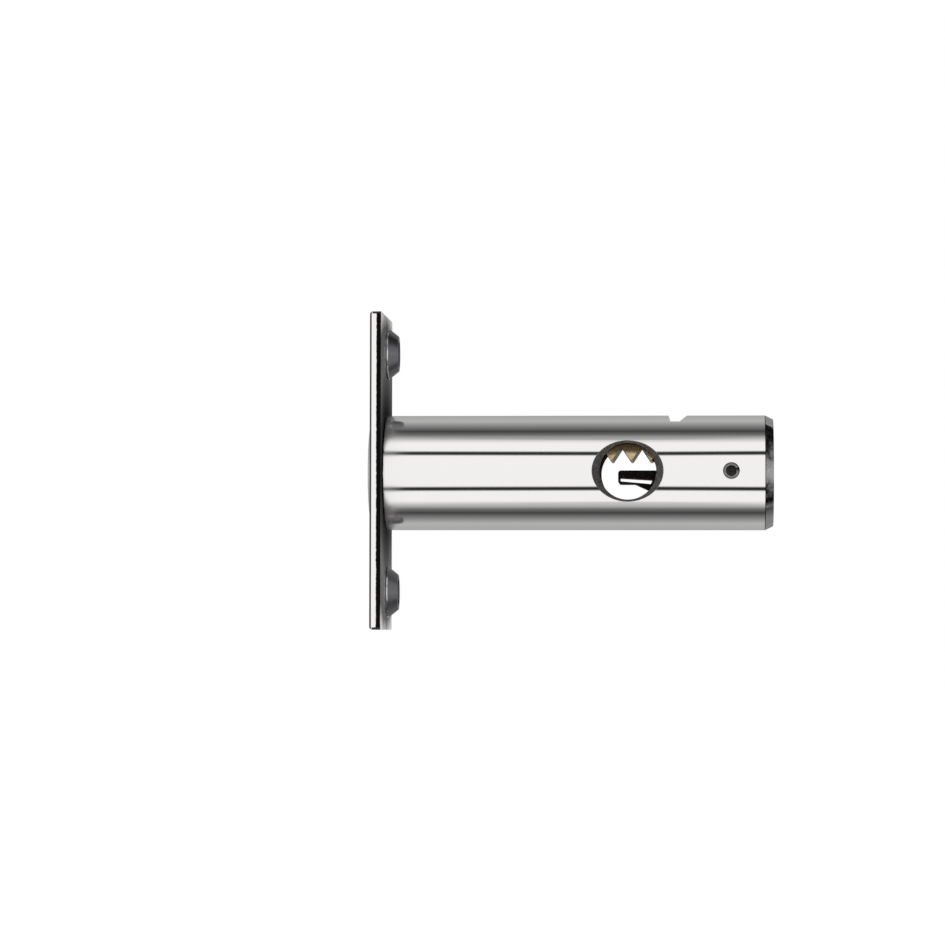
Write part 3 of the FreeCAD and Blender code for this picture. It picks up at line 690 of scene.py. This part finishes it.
    def turned(self, tree: bpy.types.NodeTree, at: Places) -> bpy.types.NodeSocket:
        """Adds the relief: fine turning rings on the flat ends and a grain all over.

        Args:
            tree: The material's tree.
            at: The object's coordinates.

        Returns:
            The bumped normal.
        """
        facing = add_node(tree, "MapRange", {**eased(0.9, 0.98), 0: at.size_x})
        wobble = add_node(tree, "TexNoise", {**blotches(1.5), 0: at.point})
        turns = add_node(tree, "Math", {"operation": "MULTIPLY_ADD", 0: at.radius,
                                        1: 2 * math.pi / self.ring_pitch, 2: wobble})
        ring = add_node(tree, "Math", {"operation": "SINE", 0: turns})
        marks = add_node(tree, "Math", {"operation": "MULTIPLY", 0: ring, 1: facing})
        rings = add_node(tree, "Bump", {"Distance": 0.004 * MM, "Height": marks})
        fine = add_node(tree, "TexNoise", {**blotches(0.25), 0: at.point})
        return add_node(tree, "Bump", {"Distance": 0.01 * MM, "Height": fine,
                                       "Normal": rings})


@dataclass(frozen=True)
class MottledMetal(Metal):
    """Metal with a grain: cast zinc, blackened steel, spring steel or drawn wire.

    Attributes:
        worn: sRGB hex where it is rubbed.
        grain_mm: Size of its mottling.
        relief_mm: Height of its mottling.
    """

    worn: str = "#55504D"
    grain_mm: float = 0.6
    relief_mm: float = 0.02

    def surface(self, tree: bpy.types.NodeTree, at: Places) -> dict:
        """Adds the mottling in colour, gloss and relief."""
        mottle = add_node(tree, "TexNoise", {**blotches(self.grain_mm, 4.0), 0: at.point})
        rubbed = add_node(tree, "MapRange", {**eased(0.52, 0.72), 0: mottle})
        colour = add_node(tree, "Mix", {"data_type": "RGBA", 0: rubbed,
                                        6: linear(self.colour), 7: linear(self.worn)}, 2)
        rough = add_node(tree, "MapRange", {
            **eased(0.3, 0.7, self.roughness + 0.08, self.roughness - 0.06), 0: mottle})
        relief = add_node(tree, "Bump", {"Distance": self.relief_mm * MM, "Height": mottle})
        return {"Base Color": colour, "Roughness": rough, "Normal": relief}


@dataclass(frozen=True)
class PinSteel(MottledMetal):
    """Spring steel pin: a pale ring of wall between a chamfer and a drilled hole, both painted
    dark as shade.

    Attributes:
        bore_radius: Radius of the drilled hole, m.
        chamfer_radius: Radius at which the end's chamfer starts, m.
        painted_shade: sRGB hex of the painted shade in the hole and round the end.
    """

    bore_radius: float = 0.80 * MM
    chamfer_radius: float = 1.10 * MM
    painted_shade: str = "#454444"

    def surface(self, tree: bpy.types.NodeTree, at: Places) -> dict:
        """Adds the painted shade in the hole and round the end to the mottled steel."""
        inputs = MottledMetal.surface(self, tree, at)
        hole = add_node(tree, "MapRange", {
            **eased(self.bore_radius - 0.02 * MM, self.bore_radius + 0.04 * MM, 1.0, 0.0),
            0: at.pin_radius})
        end = add_node(tree, "MapRange", {
            **eased(self.chamfer_radius, self.chamfer_radius + 0.05 * MM), 0: at.pin_radius})
        shaded = add_node(tree, "Math", {"operation": "MAXIMUM", 0: hole, 1: end})
        colour = add_node(tree, "Mix", {"data_type": "RGBA", 0: shaded,
                                        6: inputs["Base Color"], 7: linear(self.painted_shade)}, 2)
        return {**inputs, "Base Color": colour}


class Finish(Enum):
    """The finishes on this lock, by the record's material slots."""

    PLATE = "plate_chrome"
    TUBE = "tube_nickel"
    BOLT = "bolt_brass"
    PLUG = "plug_zinc"
    PIN = "pin_steel"
    LEVER = "lever_steel"
    SPRING = "spring_steel"


def make_finishes() -> dict[Finish, bpy.types.Material]:
    """Builds every finish once.

    Returns:
        The material of each finish.
    """
    metals = {
        # Buffed chrome plate: a cold mirror with no colour of its own.
        Finish.PLATE: PressedChrome("chrome_on_pressed_steel", "#FDFCFB", 0.045),
        # Bright nickel on drawn tube: a mirror, a little warmer, with long faint waves.
        Finish.TUBE: DrawnTubeNickel("nickel_on_drawn_tube", "#FBFAF9", 0.035),
        # Free-cutting brass off the lathe: soft pale gold, satin across the turning marks.
        Finish.BOLT: TurnedBrass("turned_brass", "#EDD3A2", 0.30),
        # Plated die-cast zinc: grey and slightly clouded, with a casting's soft skin.
        Finish.PLUG: MottledMetal("plated_zinc", "#B4B3B4", 0.13, worn="#C2C1C2",
                                  grain_mm=1.2, relief_mm=0.004),
        # Ground spring steel: mid grey with a dull grain.
        Finish.PIN: PinSteel("spring_steel", "#7C7977", 0.3, worn="#A3A09D",
                             grain_mm=0.3),
        # Blackened strip steel: nearly black, with a low brown sheen where it rubs.
        Finish.LEVER: MottledMetal("blackened_steel", "#171211", 0.42, worn="#2C2523"),
        # Drawn music wire: bright grey and smooth.
        Finish.SPRING: MottledMetal("music_wire", "#7C7A78", 0.2, worn="#A8A6A3",
                                    grain_mm=0.4, relief_mm=0.005),
    }
    return {finish: metal.make() for finish, metal in metals.items()}


def dress(piece: bpy.types.Object, material: bpy.types.Material) -> None:
    """Puts one material over a whole piece.

    Args:
        piece: Mesh object.
        material: Material to wear.
    """
    piece.data.materials.clear()
    piece.data.materials.append(material)


# ---------------------------------------------------------------------------------------------
# Studio
# ---------------------------------------------------------------------------------------------


@dataclass(frozen=True)
class Stop:
    """One level of the light tent's wall, at an angle round the tube's axis.

    Attributes:
        degrees: Angle from straight ahead of the object's side; 90 is up, -90 down.
        colour: sRGB hex that a mirror shows there.
    """

    degrees: float
    colour: str


@dataclass
class Studio:
    """White light tent with two thin dark seams, grey above and below, and a rear opening.

    Attributes:
        white: sRGB hex of the lit wall.
        seam_black: sRGB hex of the seams.
        seams: Angles of the seams' middles round the tube's axis.
        seam_half: Half of a seam's width, degrees.
        seam_fade: Degrees over which the wall fades beside a seam.
        falloff: Greys of the wall up and down from the lit part, the same on both sides.
        dark: sRGB hex of the tent's opening and of the gap in its hoop.
        floor_drop: Floor below the tube's axis, m.
        floor_side: Side of the square floor, m.
        camera_at: Camera position, m.
        looks_at: Point at the middle of the view, m.
        camera_roll: Degrees that the camera is turned about its own axis.
        lens_mm: Lens for a 36 mm sensor.
    """

    white: str = "#F4F4F4"
    seam_black: str = "#2C2C2C"
    seams: tuple[float, float] = (-34.5, 38.0)
    seam_half: float = 2.5
    seam_fade: float = 3.0
    falloff: tuple[Stop, ...] = (Stop(60, "#F4F4F4"), Stop(80, "#707070"), Stop(90, "#404040"),
                                 Stop(105, "#808080"), Stop(125, "#B4B4B4"),
                                 Stop(180, "#A0A0A0"))
    dark: str = "#161517"
    floor_drop: float = 60 * MM
    floor_side: float = 4.0
    camera_at: tuple[float, float, float] = (48.1 * MM, -600 * MM, -24.3 * MM)
    looks_at: tuple[float, float, float] = (13.22 * MM, 0.0, 0.08 * MM)
    camera_roll: float = 0.10
    lens_mm: float = 149.7

    def build(self) -> None:
        """Builds the tent, the floor, the lights and the camera."""
        self.build_tent()
        self.build_floor()
        self.build_lights()
        self.build_camera()
        bpy.context.scene.view_settings.view_transform = "Standard"

    def build_tent(self) -> None:
        """Makes the tent's wall as the world, which is all that the mirrors see."""
        world = bpy.data.worlds.new("light_tent")
        bpy.context.scene.world = world
        world.use_nodes = True
        tree = world.node_tree
        tree.nodes.clear()
        direction = add_node(tree, "TexCoord", output="Generated")
        x, y, z = add_node(tree, "SeparateXYZ", {0: direction}).node.outputs
        toward = add_node(tree, "Math", {"operation": "MULTIPLY", 0: y, 1: -1.0})
        angle = add_node(tree, "Math", {"operation": "ARCTAN2", 0: z, 1: toward})
        turn = add_node(tree, "Math", {"operation": "MULTIPLY_ADD", 0: angle,
                                       1: 0.5 / math.pi, 2: 0.5})
        wall = add_node(tree, "ValToRGB", {0: turn})
        stops = wall.node.color_ramp.elements
        stops.remove(stops[1])
        for place, stop in enumerate(self.wall_stops()):
            position = stop.degrees / 360 + 0.5
            element = stops[0] if place == 0 else stops.new(position)
            element.position = position
            element.color = linear(stop.colour)
        # A white board stands straight ahead of the faceplate.
        board = add_node(tree, "MapRange", {**eased(-0.93, -0.85, 1.0, 0.0), 0: x})
        tone = add_node(tree, "Mix", {"data_type": "RGBA", 0: board, 6: wall,
                                      7: linear("#FFFFFF")}, 2)
        # A white hoop round the board lights the ring of metal round the bolt's mouth.
        hoop = add_node(tree, "Math", {"operation": "COMPARE", 0: x, 1: -0.44, 2: 0.14})
        tone = add_node(tree, "Mix", {"data_type": "RGBA", 0: hoop, 6: tone,
                                      7: linear("#F8F8F8")}, 2)
        # The hoop has a gap off the faceplate's far side, a little below.
        far_side = add_node(tree, "VectorMath", {"operation": "DOT_PRODUCT", 0: direction,
                                                 1: (-0.62, 0.74, -0.26)}, 1)
        gap = add_node(tree, "MapRange", {**eased(0.78, 0.95), 0: far_side})
        gap = add_node(tree, "Math", {"operation": "MULTIPLY", 0: gap, 1: hoop})
        tone = add_node(tree, "Mix", {"data_type": "RGBA", 0: gap, 6: tone,
                                      7: linear(self.dark)}, 2)
        # The shiny edge of the cloth cut for the rear opening shows white.
        opening = self.rear_opening(tree, x, y, z)
        tone = add_node(tree, "Mix", {"data_type": "RGBA", 0: opening, 6: tone,
                                      7: linear(self.dark)}, 2)
        seam = add_node(tree, "Math", {"operation": "COMPARE", 0: opening, 1: 0.3, 2: 0.29})
        tone = add_node(tree, "Mix", {"data_type": "RGBA", 0: seam, 6: tone,
                                      7: linear("#D8D8DA")}, 2)
        tent = add_node(tree, "Background", {"Strength": 1.0, 0: tone})
        paper = add_node(tree, "Background", {"Strength": 1.0, 0: (1.0, 1.0, 1.0, 1.0)})
        seen = add_node(tree, "LightPath", output="Is Camera Ray")
        backdrop = add_node(tree, "MixShader", {0: seen, 1: tent, 2: paper})
        add_node(tree, "OutputWorld", {0: backdrop})

    def wall_stops(self) -> list[Stop]:
        """Works out the wall's levels from its falloff and its seams.

        Returns:
            Levels in order, from below behind to above behind.
        """
        stops = [Stop(side * shade.degrees, shade.colour)
                 for shade in self.falloff for side in (-1, 1)]
        for seam in self.seams:
            for side in (-1, 1):
                stops.append(Stop(seam + side * self.seam_half, self.seam_black))
                stops.append(Stop(seam + side * (self.seam_half + self.seam_fade), self.white))
        return sorted(stops, key=lambda stop: stop.degrees)

    def rear_opening(self, tree: bpy.types.NodeTree, x: bpy.types.NodeSocket,
                     y: bpy.types.NodeSocket,
                     z: bpy.types.NodeSocket) -> bpy.types.NodeSocket:
        """Adds a mask of the tent's opening behind and beside the lock's rear end.

        Args:
            tree: The world's tree.
            x: Direction's part along the tube.
            y: Direction's part across.
            z: Direction's part upwards.

        Returns:
            A socket that is 1 in the opening and passes through 0.3 at its edge.
        """
        low = add_node(tree, "Math", {"operation": "MULTIPLY_ADD", 0: y, 1: 0.36, 2: x})
        past = add_node(tree, "MapRange", {1: 0.53, 2: 0.61, 0: low})
        roof = add_node(tree, "Math", {"operation": "MULTIPLY_ADD", 0: z, 1: -0.374, 2: y})
        under = add_node(tree, "MapRange", {1: 0.22, 2: 0.30, 3: 1.0, 4: 0.0, 0: roof})
        # Straight behind the lock the tent is closed again.
        before = add_node(tree, "MapRange", {1: 0.805, 2: 0.812, 3: 1.0, 4: 0.0, 0: x})
        opening = add_node(tree, "Math", {"operation": "MINIMUM", 0: past, 1: under})
        return add_node(tree, "Math", {"operation": "MINIMUM", 0: opening, 1: before})

    def build_floor(self) -> None:
        """Lays a pale backlit sheet under the object, out of its reflections."""
        bpy.ops.mesh.primitive_plane_add(size=self.floor_side,
                                         location=(0, 0, -self.floor_drop))
        floor = bpy.context.active_object
        floor.name = "floor"
        material = bpy.data.materials.new("pale_acrylic_sheet")
        material.use_nodes = True
        shader = material.node_tree.nodes["Principled BSDF"]
        shader.inputs["Base Color"].default_value = linear("#F4F4F4")
        shader.inputs["Roughness"].default_value = 0.8
        shader.inputs["Emission Color"].default_value = (1.0, 1.0, 1.0, 1.0)
        shader.inputs["Emission Strength"].default_value = 1.0
        dress(floor, material)
        floor.visible_glossy = False

    def build_lights(self) -> None:
        """Hangs one large soft light above and in front."""
        bpy.ops.object.light_add(type="AREA", location=(-0.1, -0.35, 0.45))
        light = bpy.context.active_object
        light.name = "soft_light"
        light.data.energy = 3.0
        light.data.size = 0.35
        light.rotation_euler = (Vector((0.03, 0, 0)) - light.location).to_track_quat(
            "-Z", "Y").to_euler()
        light.visible_glossy = False

    def build_camera(self) -> None:
        """Sets the camera at the side of the lock, a little below its axis."""
        bpy.ops.object.camera_add(location=self.camera_at)
        camera = bpy.context.active_object
        camera.name = "camera"
        aim = Vector(self.looks_at) - camera.location
        turned = aim.to_track_quat("-Z", "Y")
        turned = turned @ Quaternion((0.0, 0.0, 1.0), math.radians(self.camera_roll))
        camera.rotation_euler = turned.to_euler()
        camera.data.lens = self.lens_mm
        camera.data.sensor_width = 36.0
        camera.data.clip_start = 0.001
        bpy.context.scene.camera = camera


# ---------------------------------------------------------------------------------------------
# The lock
# ---------------------------------------------------------------------------------------------


@dataclass
class Carried:
    """A CAD node whose shape is right and only needs its finish.

    Attributes:
        node: Name of the CAD node.
        finish: Finish that it wears.
    """

    node: str
    finish: Finish

    def build(self) -> bpy.types.Object:
        """Picks up the node.

        Returns:
            The node's mesh object.
        """
        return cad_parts[self.node]

    def dress(self, piece: bpy.types.Object,
              finishes: dict[Finish, bpy.types.Material]) -> None:
        """Puts the finish on the node.

        Args:
            piece: The node's mesh object.
            finishes: The material of each finish.
        """
        dress(piece, finishes[self.finish])


@dataclass
class LeverSpring:
    """The compression spring under the release lever, coiled from wire with ground ends.

    Attributes:
        axis_x: Where its axis stands along the tube, m.
        floor_z: Height of the seat below it, m.
        seat_z: Height of the seat above it, m.
        mean_radius: Radius of the coil's centre line, m.
        wire_radius: Radius of the wire, m.
        pitch: Rise of one turn, m.
        gap: Wire to its seats, m.
        pressed: Share of its height that is left when the lever is down. Not used.
    """

    axis_x: float = 48.3 * MM
    floor_z: float = -5.90 * MM
    seat_z: float = -3.20 * MM
    mean_radius: float = 1.3 * MM
    wire_radius: float = 0.175 * MM
    pitch: float = 0.66 * MM
    gap: float = 0.02 * MM
    pressed: float = 0.6

    def build(self) -> bpy.types.Object:
        """Coils the wire past both seats and grinds the ends flat.

        Returns:
            The spring, in place of its CAD node.
        """
        bottom = self.floor_z + self.gap
        top = self.seat_z - self.gap
        turns = math.ceil((top - bottom) / self.pitch) + 2
        bpy.ops.object.select_all(action="DESELECT")
        bpy.ops.mesh.primitive_circle_add(vertices=16, radius=self.wire_radius,
                                          rotation=(math.pi / 2, 0, 0))
        spring = bpy.context.active_object
        spring.name = "lever_spring_coil"
        bpy.ops.object.transform_apply(location=False, rotation=True, scale=False)
        bpy.ops.object.mode_set(mode="EDIT")
        bpy.ops.mesh.select_all(action="SELECT")
        bpy.ops.transform.translate(value=(self.mean_radius, 0, 0))
        bpy.ops.object.mode_set(mode="OBJECT")
        coil = spring.modifiers.new("coil", "SCREW")
        coil.axis = "Z"
        coil.angle = 2 * math.pi
        coil.screw_offset = self.pitch
        coil.iterations = turns
        coil.steps = 40
        coil.render_steps = 40
        bpy.ops.object.modifier_apply(modifier=coil.name)
        spring.location = (self.axis_x, 0, bottom - self.pitch)
        bpy.ops.object.transform_apply(location=True, rotation=False, scale=False)
        bpy.ops.object.mode_set(mode="EDIT")
        for height, upward in ((bottom, -1), (top, 1)):
            bpy.ops.mesh.select_all(action="SELECT")
            bpy.ops.mesh.bisect(plane_co=(self.axis_x, 0, height), plane_no=(0, 0, upward),
                                use_fill=True, clear_outer=True)
        bpy.ops.mesh.select_all(action="SELECT")
        bpy.ops.mesh.normals_make_consistent(inside=False)
        bpy.ops.object.mode_set(mode="OBJECT")
        bpy.ops.object.shade_smooth_by_angle(angle=math.radians(40))
        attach(spring, "case")
        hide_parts("lever_spring")
        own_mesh(spring)
        return spring

    def dress(self, piece: bpy.types.Object,
              finishes: dict[Finish, bpy.types.Material]) -> None:
        """Puts bright music wire on the spring.

        Args:
            piece: The spring.
            finishes: The material of each finish.
        """
        dress(piece, finishes[Finish.SPRING])


def main() -> None:
    """Builds the studio and dresses the lock, piece by piece."""
    logging.basicConfig(level=logging.INFO, format="%(message)s")
    Studio().build()
    finishes = make_finishes()
    makers = [
        Carried("faceplate", Finish.PLATE),
        Carried("case_tube", Finish.TUBE),
        Carried("bolt", Finish.BOLT),
        Carried("end_plug", Finish.PLUG),
        Carried("roll_pin", Finish.PIN),
        Carried("release_lever", Finish.LEVER),
        LeverSpring(),
    ]
    for maker in makers:
        piece = maker.build()
        maker.dress(piece, finishes)
        LOG.info("%s: %d faces, %s", piece.name, len(piece.data.polygons),
                 piece.data.materials[0].name)


if __name__ == "__main__":
    main()
